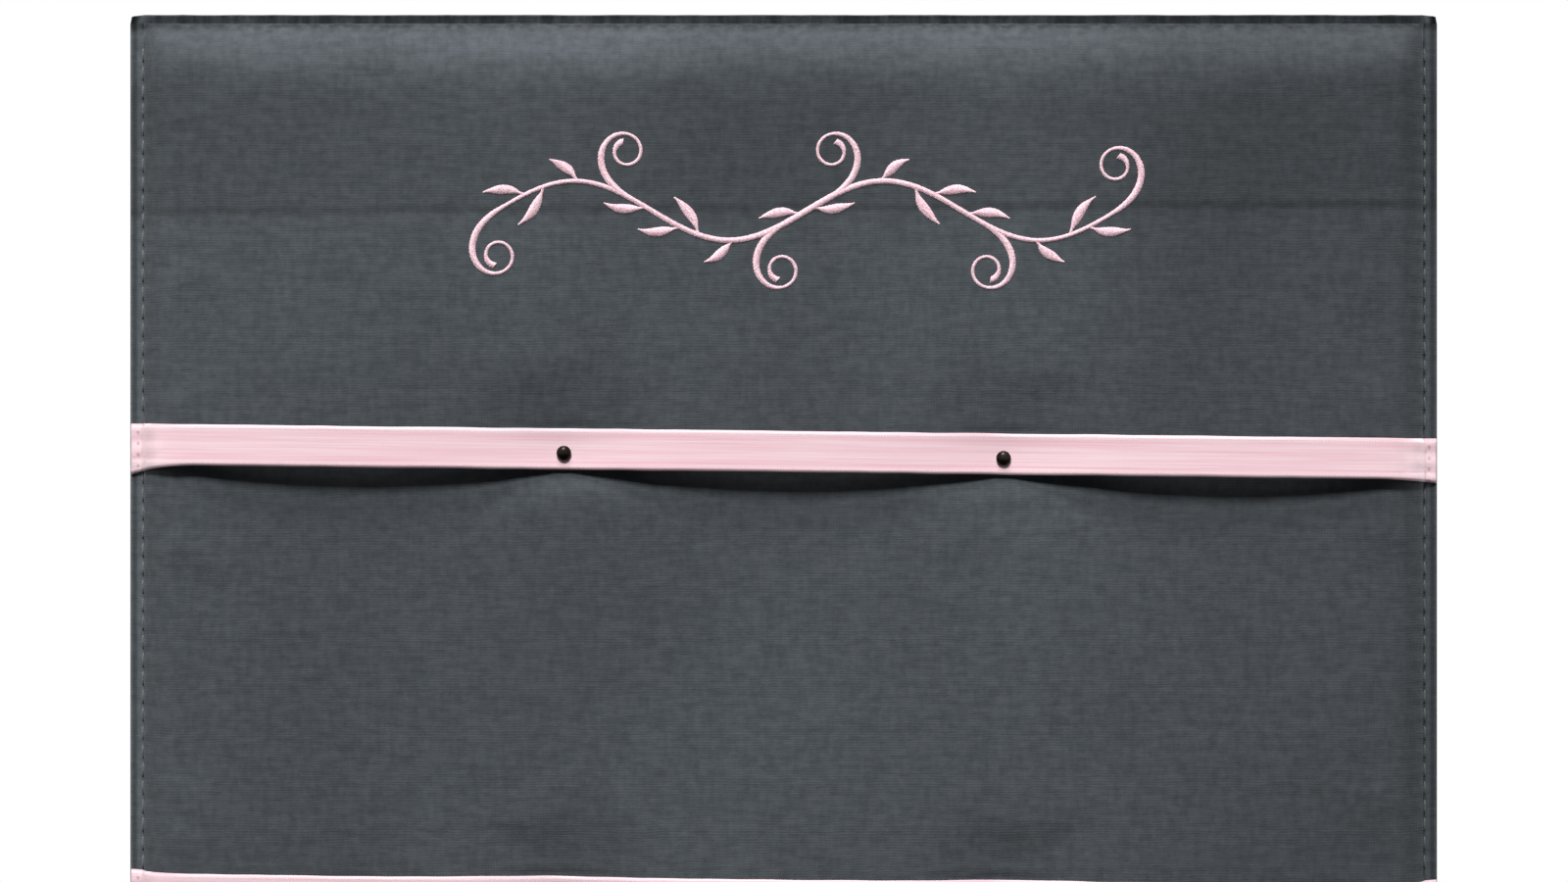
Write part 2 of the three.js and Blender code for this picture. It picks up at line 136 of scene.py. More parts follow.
def climb(place, seam, shoulder):
    """How far up the shoulder a point is, from 0 on the seam to 1 on the level pad."""
    inside = min(max((seam - abs(place)) / shoulder, 0), 1)
    return math.sqrt(1 - (1 - inside) ** 2)


def corner_rise(a, b):
    """The rise where two shoulders meet: each alone where the other is level, and rounded between them."""
    return a * b / math.sqrt(a * a + b * b - a * a * b * b) if a * b else 0


def cover_depth(x, z):
    """Depth of the cover's outside, flanges included, as in the CAD model."""
    rise = corner_rise(climb(x, SEAM_X, SIDE_SHOULDER), climb(z, SEAM_Z, END_SHOULDER))
    crown = CROWN * (1 - (x / SEAM_X) ** 2) * (1 - (z / SEAM_Z) ** 2)
    curl = END_CURL * max(0, abs(z) - SEAM_Z) / END_FLANGE
    return FLANGE_FRONT + (COVER_FRONT + crown - tuft_pull(x, z) - FLANGE_FRONT) * rise + curl


def arch(x):
    """How far a ribbon stands off the cover: nothing at its ends and studs, and most midway between them."""
    stops = [-SEAM_X, *(place + side * TUFT_FLAT for place in STUD_X for side in (-1, 1)), SEAM_X]
    for start, end in zip(stops[::2], stops[1::2]):
        if start < x < end:
            along = (x - start) / (end - start)
            return RIBBON_ARCH * 4 * along * (1 - along)
    return 0


# Placing pieces

def object_of(name, data):
    made = bpy.data.objects.new(name, data)
    scene.collection.objects.link(made)
    return made


def meshed(name, bm):
    """An object of a bmesh that is in its place, in metres."""
    mesh = bpy.data.meshes.new(name)
    bm.to_mesh(mesh)
    bm.free()
    return object_of(name, mesh)


def applied(made):
    """The mesh that a curve or an object with modifiers comes to."""
    bpy.context.view_layer.update()
    return bpy.data.meshes.new_from_object(made.evaluated_get(bpy.context.evaluated_depsgraph_get()))


def dress(made, material, body="board", replaced=()):
    """Makes an object a piece of the part: its material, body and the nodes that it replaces."""
    made.data.materials.clear()
    made.data.materials.append(material)
    made.data.shade_smooth()
    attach(made, body)
    if replaced:
        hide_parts(*replaced)
    return made


def thicken(made, thickness):
    """Gives a sheet its thickness, inwards from the modelled face."""
    wall = made.modifiers.new("thickness", "SOLIDIFY")
    wall.thickness = thickness * MM
    wall.offset = -1


def tubes(name, lines, radius, roundness, closed=False):
    """Lengths of thread or wire as one mesh. A line is a list of points in metres, each with its share of the
    radius, and roundness adds sides to its section."""
    curve = bpy.data.curves.new(name, "CURVE")
    curve.dimensions = "3D"
    curve.bevel_depth = radius * MM
    curve.bevel_resolution = roundness
    curve.use_fill_caps = True
    for line in lines:
        spline = curve.splines.new("POLY")
        spline.use_cyclic_u = closed
        spline.points.add(len(line) - 1)
        for point, (place, share) in zip(spline.points, line):
            point.co = (*place, 1)
            point.radius = share
    draft = object_of(f"{name}_draft", curve)
    mesh = applied(draft)
    bpy.data.objects.remove(draft)
    return object_of(name, mesh)


# Materials

WEAVE_PITCH = 0.8
THREAD_WANDER = 1.2
SELVEDGE_RIB = 0.9
# The crease across the cover, drawn only as a line of painted shade: its height at the middle, its climb to
# the right, its waver and half its width
CREASE_Z = 139.8
CREASE_CLIMB = 0.0059
CREASE_WAVER = 1.4
CREASE_REACH = 2.4
# Painted shade and painted highlight on the front cover, standing in for how the light falls: where each sets
# in, where it is full, and what it multiplies the colour by there
ABOVE_CREASE_SHADE = (136, 144, 0.88)
TOP_HIGHLIGHT = (172, 187, 1.24)
RIGHT_PART_SHADE = (70, 140, 0.85)
RIGHT_SHOULDER_SHADE = (185, 192, 0.87)
OUTER_FOLD_HIGHLIGHT = (198.8, 199.7, 1.35)
# The same in bands: the middle, how far from it the soft edge begins and ends, and the factor within
END_SEAM_SHADE = (197, 0.6, 1.8, 0.84)
SIDE_SWELLING_HIGHLIGHT = (196.2, 0.6, 2.2, 1.4)
SIDE_GROOVE_SHADE = (198.5, 0.2, 1.1, 0.75)
PAD_FOOT_SHADE = (192.5, 2, 6, 0.94)
# Across a ribbon, from its middle line: its raised selvedge, which carries a painted highlight, the groove
# inside it with painted shade, and the painted shade towards its edges
SELVEDGE = (5, 0.2, 0.7)
SELVEDGE_GROOVE = (3.9, 0.1, 0.6)
RIBBON_EDGE_SHADE = (5.3, 6.2, 0.75)
RIBBON_HOLES_X = 197.3
RIBBON_HOLES_PITCH = 3.4
# The settings of a map that eases in and out
SOFT = {"interpolation_type": "SMOOTHSTEP"}


def linear(hex_colour):
    """An sRGB colour such as 8a8f92 as linear light."""
    parts = [int(hex_colour[k : k + 2], 16) / 255 for k in (0, 2, 4)]
    return (*(p / 12.92 if p <= 0.04045 else ((p + 0.055) / 1.055) ** 2.4 for p in parts), 1)


def add(tree, kind, inputs=(), out=0, **settings):
    """Adds a shader node with its settings, sets or links its inputs and returns one of its outputs."""
    made = tree.nodes.new(f"ShaderNode{kind}")
    for name, value in settings.items():
        setattr(made, name, value)
    for name, value in inputs.items() if isinstance(inputs, dict) else enumerate(inputs):
        if isinstance(value, bpy.types.NodeSocket):
            tree.links.new(value, made.inputs[name])
        else:
            made.inputs[name].default_value = value
    return made.outputs[out]


def begin(name, colour, roughness, **more):
    """A material with its node tree, its one shader and the object's own coordinates."""
    material = bpy.data.materials.new(name)
    material.use_nodes = True
    material.diffuse_color = linear(colour)
    tree = material.node_tree
    shader = tree.nodes["Principled BSDF"]
    shader.inputs["Base Color"].default_value = linear(colour)
    shader.inputs["Roughness"].default_value = roughness
    for socket, value in more.items():
        shader.inputs[socket.replace("_", " ")].default_value = value
    return material, tree, shader, add(tree, "TexCoord", out="Object")


def surface(tree, shader, colour, height, relief, roughness=None):
    """Links a shader's colour, its relief in millimetres for a height of 1, and any varying roughness."""
    raised = add(tree, "Bump", {"Height": height, "Distance": relief * MM, "Strength": 1})
    tree.links.new(raised, shader.inputs["Normal"])
    tree.links.new(colour, shader.inputs["Base Color"])
    if roughness is not None:
        tree.links.new(roughness, shader.inputs["Roughness"])


def millimetres(tree, place):
    """A place in metres as three separate numbers in millimetres."""
    scaled = add(tree, "VectorMath", {0: place, "Scale": 1 / MM}, operation="SCALE")
    return add(tree, "SeparateXYZ", [scaled]).node.outputs


def streaks(tree, place, scale, detail=2, rough=0.5):
    """Noise that is stretched by its own scale on each axis, in features per metre."""
    moved = add(tree, "Mapping", {"Vector": place, "Scale": scale})
    return add(tree, "TexNoise", {"Vector": moved, "Scale": 1, "Detail": detail, "Roughness": rough}, "Fac")


def tone(tree, share, low, high, dark, light):
    """Turns a share between low and high into a colour between dark and light."""
    soft = add(tree, "MapRange", [share, low, high, 0, 1], **SOFT)
    return add(tree, "Mix", {"Factor": soft, 6: linear(dark), 7: linear(light)}, 2, data_type="RGBA")


def band(tree, value, middle, begins, ends, inside, outside=1):
    """One number within a band round a middle value and another beyond it, with a soft edge between."""
    off = add(tree, "Math", [value, middle], operation="SUBTRACT")
    off = add(tree, "Math", [off], operation="ABSOLUTE")
    return add(tree, "MapRange", [off, begins, ends, inside, outside], **SOFT)


def weighed(tree, parts, total=0):
    """The sum of a number and of others that each have a weight."""
    for value, weight in parts:
        total = add(tree, "Math", [value, weight, total], operation="MULTIPLY_ADD")
    return total


def scaled_by(tree, colour, factors):
    for factor in factors:
        colour = add(tree, "VectorMath", {0: colour, "Scale": factor}, operation="SCALE")
    return colour


def plain_weave(tree, across, along, pitch):
    """Height of a plain weave, 0 to 1: each thread goes over one and under the next."""
    turn = math.tau / pitch
    rounds, sides = [], []
    for place in (across, along):
        angle = add(tree, "Math", [place, turn], operation="MULTIPLY")
        wave = add(tree, "Math", [angle], operation="COSINE")
        rounds.append(weighed(tree, [(wave, 0.5)], 0.5))
        angle = weighed(tree, [(place, turn / 2)], math.pi / 2)
        sides.append(add(tree, "Math", [angle], operation="SINE"))
    over = add(tree, "Math", sides, operation="MULTIPLY")
    return add(tree, "Mix", {"Factor": weighed(tree, [(over, 0.5)], 0.5), 2: rounds[1], 3: rounds[0]})


def woven_cover(name, dark, light, worn=False):
    """Cotton and linen in a plain weave: matt, with short thick slubs both ways, blotches where the dye took
    unevenly and a faint sheen at grazing angles. Such threads are 0.45 mm apart. They are drawn 0.8 mm apart,
    so that they show."""
    sheen = {"Sheen_Weight": 0.06, "Sheen_Roughness": 0.6}
    material, tree, shader, place = begin(name, dark, 0.95, Specular_IOR_Level=0.02, **sheen)
    x, y, z = millimetres(tree, place)
    slubs = streaks(tree, place, (110, 110, 520), 3, 0.6)
    upright = streaks(tree, place, (560, 110, 130), 2)
    mottle = streaks(tree, place, (330, 330, 330), 3, 0.6)
    mixed = weighed(tree, [(mottle, 0.5), (slubs, 0.3), (upright, 0.2)])
    colour = tone(tree, mixed, 0.3, 0.7, dark, light)

    wander = streaks(tree, place, (90, 90, 90), 2)
    across, along = (weighed(tree, [(wander, THREAD_WANDER)], axis) for axis in (x, z))
    weave = plain_weave(tree, across, along, WEAVE_PITCH)
    broad = streaks(tree, place, (11, 11, 8), 1)
    gathers = seam_gathers(tree, place, z)
    factors = [
        add(tree, "MapRange", [broad, 0.3, 0.7, 0.9, 1.07], **SOFT),
        # The weave's hollows are darker: painted shade.
        add(tree, "MapRange", [weave, 0, 0.9, 0.95, 1.01], **SOFT),
    ]
    # worn adds only painted light and shade: the crease's and needle holes' painted shade, the rim's and
    # top's painted shade and highlights, and painted shade in the end seams' gathers.
    if worn:
        factors += [crease_shade(tree, x, z, wander), needle_holes(tree, x, y, z), *painted_light_and_shade(tree, x, z)]
        # Painted shade in the gathers of the end seams.
        factors.append(weighed(tree, [(gathers, -0.75)], 1))
    height = weighed(tree, [(weave, 0.25), (gathers, -6)], slubs)
    surface(tree, shader, scaled_by(tree, colour, factors), height, 0.16)
    return material


def seam_gathers(tree, place, z):
    """Small gathers where the end seams draw the cloth together: 0 on the pad, deepest in the seam. The cover
    uses them for its bumps and for painted shade.
    """
    end = add(tree, "Math", [z], operation="ABSOLUTE")
    depth = add(tree, "MapRange", [end, SEAM_Z - 4.8, SEAM_Z - 0.8, 0, 1], **SOFT)
    folds = streaks(tree, place, (300, 240, 40), 2)
    folds = add(tree, "MapRange", [folds, 0.25, 0.75, 0.1, 0.75], **SOFT)
    return add(tree, "Math", [depth, folds], operation="MULTIPLY")


def crease_shade(tree, x, z, wander):
    """Painted shade along a crease left by folding, nearly the board's full width and a little higher at the
    right.
    """
    line = weighed(tree, [(x, CREASE_CLIMB), (wander, CREASE_WAVER)], CREASE_Z)
    return band(tree, z, line, 0, CREASE_REACH, 0.76)


def painted_light_and_shade(tree, x, z):
    """Painted light and shade on the front cover: painted shade above the crease and to the right, most on
    the right shoulder, and a painted highlight over the top shoulder. Painted shade too in the end seams, the
    sides' groove and round the padding's foot, and painted highlights on the sides' swelling and outer fold."""
    side = add(tree, "Math", [x], operation="ABSOLUTE")
    end = add(tree, "Math", [z], operation="ABSOLUTE")
    steps = ((z, ABOVE_CREASE_SHADE), (z, TOP_HIGHLIGHT), (x, RIGHT_PART_SHADE), (x, RIGHT_SHOULDER_SHADE), (side, OUTER_FOLD_HIGHLIGHT))
    bands = ((end, END_SEAM_SHADE), (side, SIDE_SWELLING_HIGHLIGHT), (side, SIDE_GROOVE_SHADE), (side, PAD_FOOT_SHADE))
    return [
        add(tree, "MapRange", [value, start, full, 1, factor], **SOFT)
        for value, (start, full, factor) in steps
    ] + [band(tree, value, *shape) for value, shape in bands]


def needle_holes(tree, x, y, z):
    """Painted shade in the needle holes between the stitches along both sides, at the foot of the padding."""
    along = add(tree, "Math", [z, 200 * STITCH_PITCH], operation="ADD")
    along = add(tree, "Math", [along, STITCH_PITCH / 2], operation="PINGPONG")
    across = add(tree, "Math", [x], operation="ABSOLUTE")
    across = add(tree, "Math", [across, HOLE_X], operation="SUBTRACT")
    deep = weighed(tree, [(y, 0.8)], 4.2)
    off = add(tree, "CombineXYZ", [along, across, deep])
    off = add(tree, "VectorMath", [off], "Value", operation="LENGTH")
    return add(tree, "MapRange", [off, 0.4, 2.3, 0.5, 1], **SOFT)


def satin_ribbon():
    """Polyester satin ribbon: smooth and glossy along its length, with denser woven, raised selvedges a
    millimetre inside both edges. The selvedges are tinted paler as a painted highlight, and the groove inside
    each and the very edges are darker as painted shade. Its map runs in metres along and across the ribbon."""
    sheen = {"Sheen_Weight": 0.25, "Sheen_Roughness": 0.4}
    material, tree, shader, place = begin("polyester_satin_ribbon", "f1cdd5", 0.42, **sheen)
    place = place.node.outputs["UV"]
    along, across, _ = millimetres(tree, place)
    fibres = streaks(tree, place, (18, 2600, 1), 3, 0.6)
    clouds = streaks(tree, place, (14, 420, 1), 2)
    colour = tone(tree, weighed(tree, [(fibres, 0.6), (clouds, 0.4)]), 0.3, 0.7, "edbfc9", "fadee5")

    off = add(tree, "Math", [across], operation="ABSOLUTE")
    selvedge = band(tree, off, *SELVEDGE, 1, 0)
    raised = add(tree, "Math", [selvedge, 0.2], operation="MULTIPLY")
    sunk = band(tree, off, *SELVEDGE_GROOVE, 0.3, 0)
    # Painted highlight on the raised selvedge and painted shade in the groove inside it.
    for share, tint in ((raised, "f9e0e5"), (sunk, "e6aebb")):
        colour = add(tree, "Mix", {"Factor": share, 6: colour, 7: linear(tint)}, 2, data_type="RGBA")
    # Painted shade towards the ribbon's edges.
    begins, ends, factor = RIBBON_EDGE_SHADE
    edge = add(tree, "MapRange", [off, begins, ends, 1, factor], **SOFT)
    colour = scaled_by(tree, colour, [edge, ribbon_needle_holes(tree, along, across)])

    ribs = add(tree, "Math", [along, math.tau / SELVEDGE_RIB], operation="MULTIPLY")
    ribs = add(tree, "Math", [ribs], operation="SINE")
    ribs = add(tree, "Math", [ribs, selvedge], operation="MULTIPLY")
    height = weighed(tree, [(fibres, 0.5), (ribs, 0.3)], raised)
    gloss = add(tree, "MapRange", [fibres, 0.2, 0.8, 0.36, 0.5], **SOFT)
    surface(tree, shader, colour, height, 0.08, gloss)
    return material


def ribbon_needle_holes(tree, along, across):
    """The needle holes across both ends of a ribbon, darker because the cloth shows in them."""
    off_row = add(tree, "Math", [along], operation="ABSOLUTE")
    off_row = add(tree, "Math", [off_row, RIBBON_HOLES_X], operation="SUBTRACT")
    off_hole = add(tree, "Math", [across, 30 * RIBBON_HOLES_PITCH - 0.2], operation="ADD")
    off_hole = add(tree, "Math", [off_hole, RIBBON_HOLES_PITCH / 2], operation="PINGPONG")
    off = add(tree, "CombineXYZ", [off_row, off_hole, 0])
    off = add(tree, "VectorMath", [off], "Value", operation="LENGTH")
    return add(tree, "MapRange", [off, 0.2, 0.9, 0.6, 1], **SOFT)


def spun_thread(name, dark, light, roughness, sheen):
    """Twisted thread: a fine ply that catches the light, matt in polyester and silky in rayon."""
    material, tree, shader, place = begin(name, light, roughness, Sheen_Weight=sheen)
    ply = streaks(tree, place, (1900, 1900, 1900), 2)
    surface(tree, shader, tone(tree, ply, 0.35, 0.65, dark, light), ply, 0.08)
    return material


def wadding_batt():
    """Bonded polyester wadding: loose white fibres, fluffy and without any gloss."""
    material, tree, shader, place = begin("bonded_polyester_wadding", "f1efe8", 1, Sheen_Weight=0.3)
    tufts = streaks(tree, place, (260, 260, 260), 5, 0.7)
    surface(tree, shader, tone(tree, tufts, 0.3, 0.7, "dcd8cc", "f8f6f0"), tufts, 0.9)
    return material


def pressed_hardboard():
    """Wood fibres pressed hot into a sheet: brown, with dark flecks and a faint cloudiness."""
    material, tree, shader, place = begin("pressed_hardboard", "a9855c", 0.8)
    clouds = streaks(tree, place, (40, 40, 40), 4, 0.6)
    flecks = streaks(tree, place, (900, 900, 300), 3, 0.7)
    colour = tone(tree, clouds, 0.3, 0.7, "94724c", "b8946a")
    specks = add(tree, "MapRange", [flecks, 0.6, 0.72, 0, 0.6], **SOFT)
    colour = add(tree, "Mix", {"Factor": specks, 6: colour, 7: linear("5f452b")}, 2, data_type="RGBA")
    surface(tree, shader, colour, flecks, 0.1)
    return material


def metal(name, colour, worn, roughness, marked=(1500, 1500, 1500), coat=0):
    """Metal with fine marks and a little wear: strip has its marks along one axis, a turned or bent piece has
    them all round, and paint keeps its own colour over the steel."""
    material, tree, shader, place = begin(name, colour, roughness, Metallic=1, Coat_Weight=coat)
    marks = streaks(tree, place, marked, 3, 0.6)
    smears = streaks(tree, place, (220, 220, 220), 3)
    rough = add(tree, "MapRange", [marks, 0.2, 0.8, roughness - 0.08, roughness + 0.12], **SOFT)
    surface(tree, shader, tone(tree, smears, 0.35, 0.75, colour, worn), marks, 0.02, rough)
    return material


# worn=True gives the front cover its painted light and shade.
COVER_CLOTH = woven_cover("cotton_linen_plain_weave", "43484c", "53585c", worn=True)
BACK_CLOTH = woven_cover("cotton_lining_plain_weave", "3b4043", "444a4d")
RIBBON_SATIN = satin_ribbon()
SEWING_THREAD = spun_thread("spun_polyester_thread", "464a4d", "5e6265", 0.7, 0.1)
PINK_SEWING_THREAD = spun_thread("spun_polyester_thread_pink", "e2b4bf", "f3d3da", 0.6, 0.2)
EMBROIDERY_THREAD = spun_thread("rayon_embroidery_thread", "e9b9c6", "f8dbe3", 0.4, 0.35)
WADDING = wadding_batt()
HARDBOARD = pressed_hardboard()
# Stamped steel under black japan: nearly black with a brown cast and a soft gloss.
JAPANNED_STEEL = metal("black_japanned_steel", "16110e", "2a221d", 0.42, coat=0.15)
# Drawn brass strip, left bare: yellow-brown and slightly dull.
BRASS_STRIP = metal("drawn_brass_strip", "a88f52", "8a7240", 0.35, marked=(2500, 2500, 200))
# Nickel-plated steel strip: warm silver with fine rolling marks along the strap.
NICKEL_STRIP = metal("nickel_plated_steel_strip", "b9b7b1", "a3a19c", 0.3, marked=(2600, 2600, 160))
# Bright zinc on a turned screw: cooler and a little blue.
ZINC_SCREW = metal("zinc_plated_turned_steel", "aeb2b8", "989ca3", 0.28)
# Nickel-plated drawn wire: the brightest of the metals.
NICKEL_WIRE = metal("nickel_plated_drawn_wire", "c6c4bf", "b2b0ab", 0.18)


# Cover cloth

# The grid's lines on a flange, as shares of its width out from the seam
FLANGE_LINES = (1, 0.98, 0.94, 0.87, 0.77, 0.63, 0.48, 0.32, 0.16, 0)
FINE_PITCH = 1.4
FOLD_WIDTH = 2.4
FOLD_FALL = 1
END_FOLD_WIDTH = 0.9
# The channel that the topstitching draws in, with a dimple at each hole, and the puckers just inside it
CHANNEL_DEPTH = 0.3
CHANNEL_WIDTH = 1.3
PUCKER_DEPTH = 0.35
PUCKER_INSET = 1.8
PUCKER_WIDTH = 2.2
DIMPLE_REACH = 6
STUD_CREASE_DEPTH = 0.7
STUD_CREASE_WIDTH = 1.5
STUD_CREASE_REACH = 20
END_WAVER = 0.25

# Settling of the cover on its padding
SETTLE_STEPS = 20
SETTLE_CELLS = 96
SPARE_CLOTH = 0.012
LOOSE_HOLD = 0.06
FABRIC = {
    "quality": 6,
    "mass": 0.2,
    "tension_stiffness": 25,
    "compression_stiffness": 25,
    "shear_stiffness": 6,
    "bending_stiffness": 0.4,
    "air_damping": 3,
    "pin_stiffness": 1,
    "shrink_min": -SPARE_CLOTH,
    "use_pressure": True,
    "uniform_pressure_force": 2,
}
SETTLED_SHARE = 0.5
MOST_OUT = 0.8
MOST_IN = 0.7
HELD_RIM = 8
# How far from a ribbon's middle line the cloth counts as under it, and as clear of it
UNDER_RIBBON = 7
CLEAR_OF_RIBBON = 12

BACK_RIM = 12
BACK_SLACK = 0.3
# How near a hanger the back cloth is drawn flat, and how far from it that ends
HANGER_NEAR = 9
HANGER_CLEAR = 30
PAD_INSET = 3.4
PAD_GAP = 1.1
PAD_SEAT = 0.1
PAD_RIM = 0.5


def lines_across(seam, shoulder, steps, pitch):
    """Places of the grid's lines from edge to edge of the board: close on the flange and shoulder."""
    flange = BOARD_HALF - seam
    outer = [seam + flange * share for share in FLANGE_LINES]
    rising = [seam - shoulder * (1 - math.cos(math.pi / 2 * k / steps)) for k in range(1, steps + 1)]
    level = seam - shoulder
    count = math.ceil(2 * level / pitch)
    middle = [level - 2 * level * k / count for k in range(1, count)]
    half = outer + rising
    return [-p for p in half] + [-p for p in middle] + half[::-1]


def grid(across, up, form):
    """A sheet whose point at each crossing of the lines is where form(x, z) puts it, in millimetres."""
    bm = bmesh.new()
    bmesh.ops.create_grid(bm, x_segments=len(across) - 1, y_segments=len(up) - 1, size=0.5)
    for v in bm.verts:
        i = round((v.co.x + 0.5) * (len(across) - 1))
        j = round((v.co.y + 0.5) * (len(up) - 1))
        v.co = Vector(form(across[i], up[j])) * MM
    bm.normal_update()
    return bm


def uneven(x, z, size, seed):
    """Smooth unevenness, about -1 to 1, whose swells are as far apart as its size."""
    return noise.noise(Vector((x / size, z / size, seed)))


def on_flanges(x, z):
    """How far out a point is on the side and the end flange, from 0 on the seam to 1 on the edge."""
    return max(0, abs(x) - SEAM_X) / SIDE_FLANGE, max(0, abs(z) - SEAM_Z) / END_FLANGE


def inside_seams(x, z, rim):
    """0 on the seams, and 1 from a rim's width inside them."""
    return smooth(SEAM_X - abs(x), 0, rim) * smooth(SEAM_Z - abs(z), 0, rim)


def edge_round(place, half, width=FOLD_WIDTH):
    """How far the folded outer edge of a flange falls back."""
    into = max(0, 1 - (half - abs(place)) / width)
    return FOLD_FALL * (1 - math.sqrt(1 - into * into))


def side_seam(x):
    """How a sewn side departs from a plain flange: a groove inside its fold, then swellings up to the pad."""
    into = BOARD_HALF - abs(x)
    return sum(height * bell(into - place, width) for place, width, height in SIDE_SEAM)


def stitch_dimple(x, z):
    """How far the topstitching draws the cloth in."""
    off = abs(x) - STITCH_X
    if abs(off) > DIMPLE_REACH:
        return 0
    along = (z / STITCH_PITCH) % 1
    hole = math.cos(math.pi * along) ** 8
    wave = 0.5 + 0.5 * math.cos(math.tau * along)
    channel = CHANNEL_DEPTH * bell(off, CHANNEL_WIDTH) * (1 + hole)
    pucker = PUCKER_DEPTH * bell(off + PUCKER_INSET, PUCKER_WIDTH) * wave if off < 0 else 0
    return channel + pucker


def stud_crease(x, z):
    """The crease that each stud presses into the cloth along its ribbon's upper edge."""
    off = min(abs(z - ribbon_height(name, x) - WOVEN_WIDTH / 2) for name in RIBBONS)
    along = max(bell(x - place, STUD_CREASE_REACH) for place in STUD_X)
    return STUD_CREASE_DEPTH * bell(off, STUD_CREASE_WIDTH) * along


def cover_point(x, z, pull=None):
    """A point of the dressed cover: the CAD form with rolled edges, stitch puckers and slight unevenness."""
    on_side, on_end = on_flanges(x, z)
    depth = cover_depth(x, z) - stitch_dimple(x, z) - stud_crease(x, z)
    depth -= edge_round(x, BOARD_HALF) + 0.5 * edge_round(z, BOARD_HALF, END_FOLD_WIDTH) * (1 - on_side)
    depth += side_seam(x) * (1 - on_end)
    depth += END_SWELLING * bell(SEAM_Z - abs(z), END_SWELLING_WIDTH) * (1 - on_side)
    depth += END_WAVER * on_end * uneven(x, 0, 9, 3.1)
    if pull:
        depth += pull(x, z)
    cut = CORNER_CUT * on_side * on_end
    wavy = abs(END_WAVER * on_end * uneven(x, 0, 14, 7.7))
    return x - math.copysign(cut, x), -depth, z - math.copysign(cut + wavy, z)


def settle():
    """Lets the cover settle on its padding as cloth that is a little too large, held at its seams and studs.
    Returns a regular grid's reach, and how far each of its points moved outwards, in millimetres."""
    reach = SEAM_X - 0.5
    places = [-reach + 2 * reach * k / SETTLE_CELLS for k in range(SETTLE_CELLS + 1)]
    heights = [p * SEAM_Z / SEAM_X for p in places]
    cloth = meshed("settling", grid(places, heights, lambda x, z: (x, -cover_depth(x, z), z)))
    start = np.array([v.co for v in cloth.data.vertices])
    held = cloth.vertex_groups.new(name="held")
    for v in cloth.data.vertices:
        x, z = v.co.x / MM, v.co.z / MM
        seam = max(abs(x) / SEAM_X, abs(z) / SEAM_Z) > 0.97
        stud = tuft_pull(x, z) > 0.93 * TUFT_DEPTH
        held.add([v.index], 1 if seam or stud else LOOSE_HOLD, "REPLACE")
    worn = cloth.modifiers.new("cloth", "CLOTH")
    for name, value in FABRIC.items():
        setattr(worn.settings, name, value)
    worn.settings.vertex_group_mass = "held"
    worn.settings.effector_weights.gravity = 0
    worn.collision_settings.use_collision = False
    worn.point_cache.frame_start = 1
    worn.point_cache.frame_end = SETTLE_STEPS
    for step in range(1, SETTLE_STEPS + 1):
        scene.frame_set(step)
    settled = cloth.evaluated_get(bpy.context.evaluated_depsgraph_get()).data
    end = np.array([v.co for v in settled.vertices])
    scene.frame_set(1)
    bpy.data.objects.remove(cloth)
    moved = np.clip((start[:, 1] - end[:, 1]) / MM, -1.5, 1.5)
    order = np.lexsort((start[:, 0], start[:, 2]))
    print(f"settle: moved {moved.min():.2f} to {moved.max():.2f} mm, spread {moved.std():.3f}")
    return reach, moved[order].reshape(SETTLE_CELLS + 1, SETTLE_CELLS + 1)


def near_ribbon(x, z):
    """How close a point is to a ribbon's band, from 1 under it to 0 clear of it."""
    off = min(abs(z - ribbon_height(name, x)) for name in RIBBONS)
    return 1 - smooth(off, UNDER_RIBBON, CLEAR_OF_RIBBON)


def settled_pull():
    """A function that says how far the settled cloth moved outwards at a point. That is capped, fades to
    nothing at the seams and studs, and leaves a ribbon the room that it has over the cloth."""
    reach, field = settle()
    field = field - field.mean()
    last = SETTLE_CELLS - 1

    def pull(x, z):
        a = min(max((x / reach + 1) / 2, 0), 1) * SETTLE_CELLS
        b = min(max((z / reach * SEAM_X / SEAM_Z + 1) / 2, 0), 1) * SETTLE_CELLS
        i, j = min(int(a), last), min(int(b), last)
        u, v = a - i, b - j
        low = field[j, i] * (1 - u) + field[j, i + 1] * u
        high = field[j + 1, i] * (1 - u) + field[j + 1, i + 1] * u
        moved = SETTLED_SHARE * (low * (1 - v) + high * v)
        free = inside_seams(x, z, HELD_RIM) * (1 - tuft_pull(x, z) / TUFT_DEPTH)
        moved = max(min(moved, MOST_OUT), -MOST_IN) * free
        if moved <= 0:
            return moved
        under = near_ribbon(x, z)
        room = 0.05 + 0.5 * arch(x)
        return min(moved, room) * under + moved * (1 - under)

    return pull


def cover_cloth():
    pull = settled_pull()
    across = lines_across(SEAM_X, SIDE_SHOULDER, 8, 3.5)
    up = lines_across(SEAM_Z, END_SHOULDER, 8, FINE_PITCH)
    made = meshed("cover_cloth", grid(across, up, lambda x, z: cover_point(x, z, pull)))
    dress(made, COVER_CLOTH, replaced=["front_cover"])
    thicken(made, CLOTH)


def middle_of(node):
    low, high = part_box(node)
    return (low + high) / 2


HANGERS = ("left", "right")
HANGER_SPOTS = [middle_of(f"hanger_strap_{name}") / MM for name in HANGERS]


